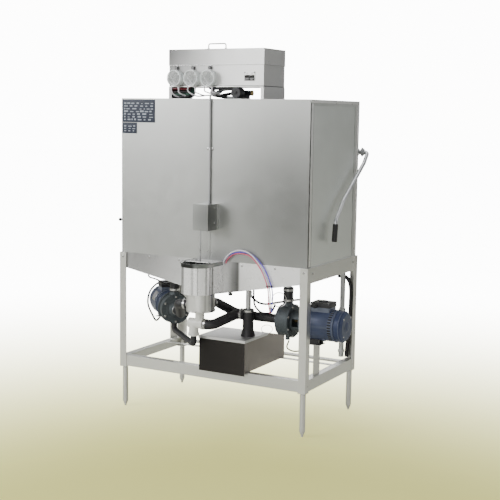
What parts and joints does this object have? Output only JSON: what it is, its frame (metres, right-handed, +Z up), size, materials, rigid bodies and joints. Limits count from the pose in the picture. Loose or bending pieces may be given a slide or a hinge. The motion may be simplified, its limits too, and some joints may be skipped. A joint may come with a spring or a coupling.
{
  "type": "commercial dishwasher",
  "caption": "Upright two-rack commercial dishwasher: stainless hood with lever-lifted side doors on an angle frame, wash tank, pumps, drain box and a control box on top.",
  "frame": {"origin": "on the floor, at the centre of the rectangle of the four feet", "axes": "+X to the machine's right side (lever side), +Y to the back, +Z up"},
  "size_m": [1.3222, 0.904, 1.9695],
  "materials": {
    "frame_steel": "brushed stainless angle",
    "panel_steel": "brushed stainless sheet",
    "tank_steel": "polished stainless sheet",
    "polished_steel": "polished stainless",
    "pipe_steel": "satin stainless tube",
    "fastener_steel": "bright stainless",
    "spring_steel": "oiled spring wire",
    "bearing_iron": "zinc grey casting",
    "casing_iron": "dark grey painted casting",
    "motor_paint": "blue grey enamel",
    "impeller_brass": "cast brass",
    "black_rubber": "black rubber",
    "grip_rubber": "soft black grip",
    "white_pvc": "white moulded fitting",
    "conduit_grey": "grey covered tube",
    "coil_black": "moulded coil",
    "clear_cover": "clear moulded cover",
    "cup_plastic": "clear grey moulding",
    "rotor_plastic": "white moulding",
    "button_black": "black moulding",
    "box_steel": "dark sheet",
    "lid_steel": "bright sheet"
  },
  "bodies": {
    "machine": {"frame_legs": "frame_steel", "bottom_rails": "frame_steel", "side_aprons": "frame_steel", "frame_bolts": "fastener_steel", "front_panel_right": "panel_steel", "front_panel_left": "panel_steel", "back_panel": "panel_steel", "top_panel": "panel_steel", "side_frames": "panel_steel", "shaft_bearings": "bearing_iron", "torsion_springs": "spring_steel", "wash_tank": "tank_steel", "tank_screens": "tank_steel", "rack_rails": "tank_steel", "pump_casings": "casing_iron", "pump_motors": "motor_paint", "motor_supports": "frame_steel", "pump_hoses": "black_rubber", "wash_manifolds": "pipe_steel", "scrap_accumulator": "polished_steel", "sump_pot": "polished_steel", "drain_solenoid": "coil_black", "solenoid_box": "panel_steel", "front_conduit": "conduit_grey", "drain_fitting": "white_pvc", "drain_hoses": "black_rubber", "drain_boot": "black_rubber", "overflow_pipe": "pipe_steel", "drain_box": "box_steel", "drain_box_lid": "lid_steel", "control_box": "panel_steel", "box_stands": "panel_steel", "dispenser_cups": "cup_plastic", "dispenser_covers": "clear_cover", "fill_valve": "coil_black"},
    "feet": {"leveling_feet": "frame_steel"},
    "lever": {"lever_shaft": "pipe_steel", "lift_arms": "pipe_steel", "lever_tube": "pipe_steel", "lever_grip": "grip_rubber"},
    "door_right": {"door_right": "panel_steel"},
    "door_left": {"door_left": "panel_steel"},
    "button_left": {"prime_button_left": "button_black"},
    "button_centre": {"prime_button_centre": "button_black"},
    "button_right": {"prime_button_right": "button_black"},
    "switch_left": {"rocker_left": "button_black"},
    "switch_right": {"rocker_right": "button_black"},
    "rotor_left": {"dispenser_rotor_left": "rotor_plastic"},
    "rotor_centre": {"dispenser_rotor_centre": "rotor_plastic"},
    "rotor_right": {"dispenser_rotor_right": "rotor_plastic"},
    "impeller_right": {"impeller_right": "impeller_brass"},
    "impeller_left": {"impeller_left": "impeller_brass"},
    "spray_lower_right": {"spray_arm_lower_right": "pipe_steel"},
    "spray_upper_right": {"spray_arm_upper_right": "pipe_steel"},
    "spray_lower_left": {"spray_arm_lower_left": "pipe_steel"},
    "spray_upper_left": {"spray_arm_upper_left": "pipe_steel"},
    "drain_plug": {"drain_plug": "pipe_steel"},
    "cover": {"control_cover": "panel_steel", "cover_handle": "polished_steel"},
    "basket": {"scrap_basket": "polished_steel"}
  },
  "joints": [
    {"name": "lever_swing", "type": "hinge", "parent": "machine", "child": "lever", "pos_m": [0, 0.348, 1.418], "axis": [-1, 0, 0], "range_deg": [0, 85]},
    {"name": "door_right_lift", "type": "slide", "parent": "machine", "child": "door_right", "axis": [0, 0, 1], "range_m": [0, 0.4326]},
    {"name": "door_left_lift", "type": "slide", "parent": "machine", "child": "door_left", "axis": [0, 0, 1], "range_m": [0, 0.4326]},
    {"name": "feet_adjust", "type": "slide", "parent": "machine", "child": "feet", "axis": [0, 0, -1], "range_m": [0, 0.025]},
    {"name": "button_left_press", "type": "slide", "parent": "machine", "child": "button_left", "axis": [0, 1, 0], "range_m": [0, 0.0035]},
    {"name": "button_centre_press", "type": "slide", "parent": "machine", "child": "button_centre", "axis": [0, 1, 0], "range_m": [0, 0.0035]},
    {"name": "button_right_press", "type": "slide", "parent": "machine", "child": "button_right", "axis": [0, 1, 0], "range_m": [0, 0.0035]},
    {"name": "drain_plug_lift", "type": "slide", "parent": "machine", "child": "drain_plug", "axis": [0, 0, 1], "range_m": [0, 0.02]},
    {"name": "cover_lift_off", "type": "slide", "parent": "machine", "child": "cover", "axis": [0, 0, 1], "range_m": [0, 0.06]},
    {"name": "basket_lift_out", "type": "slide", "parent": "machine", "child": "basket", "axis": [0, 0, 1], "range_m": [0, 0.15]},
    {"name": "rocker_left_tip", "type": "hinge", "parent": "machine", "child": "switch_left", "pos_m": [0.186, -0.2647, 1.793], "axis": [1, 0, 0], "range_deg": [-10, 10]},
    {"name": "rocker_right_tip", "type": "hinge", "parent": "machine", "child": "switch_right", "pos_m": [0.214, -0.2647, 1.793], "axis": [1, 0, 0], "range_deg": [-10, 10]},
    {"name": "rotor_left_turn", "type": "hinge", "parent": "machine", "child": "rotor_left", "pos_m": [-0.232, -0.28, 1.792], "axis": [0, 1, 0], "continuous": true},
    {"name": "rotor_centre_turn", "type": "hinge", "parent": "machine", "child": "rotor_centre", "pos_m": [-0.131, -0.28, 1.792], "axis": [0, 1, 0], "continuous": true},
    {"name": "rotor_right_turn", "type": "hinge", "parent": "machine", "child": "rotor_right", "pos_m": [-0.03, -0.28, 1.792], "axis": [0, 1, 0], "continuous": true},
    {"name": "impeller_right_turn", "type": "hinge", "parent": "machine", "child": "impeller_right", "pos_m": [0.31, -0.15, 0.558], "axis": [1, 0, 0], "continuous": true},
    {"name": "impeller_left_turn", "type": "hinge", "parent": "machine", "child": "impeller_left", "pos_m": [-0.275, -0.185, 0.545], "axis": [-0.7071, 0.7071, 0], "continuous": true},
    {"name": "spray_lower_right_turn", "type": "hinge", "parent": "machine", "child": "spray_lower_right", "pos_m": [0.256, 0, 0.837], "axis": [0, 0, 1], "continuous": true},
    {"name": "spray_upper_right_turn", "type": "hinge", "parent": "machine", "child": "spray_upper_right", "pos_m": [0.256, 0, 1.326], "axis": [0, 0, 1], "continuous": true},
    {"name": "spray_lower_left_turn", "type": "hinge", "parent": "machine", "child": "spray_lower_left", "pos_m": [-0.256, 0, 0.837], "axis": [0, 0, 1], "continuous": true},
    {"name": "spray_upper_left_turn", "type": "hinge", "parent": "machine", "child": "spray_upper_left", "pos_m": [-0.256, 0, 1.326], "axis": [0, 0, 1], "continuous": true}
  ],
  "couplings": [
    {"joint": "door_right_lift", "follows": "lever_swing", "m_per_rad": 0.29145},
    {"joint": "door_left_lift", "follows": "lever_swing", "m_per_rad": 0.29145}
  ]
}
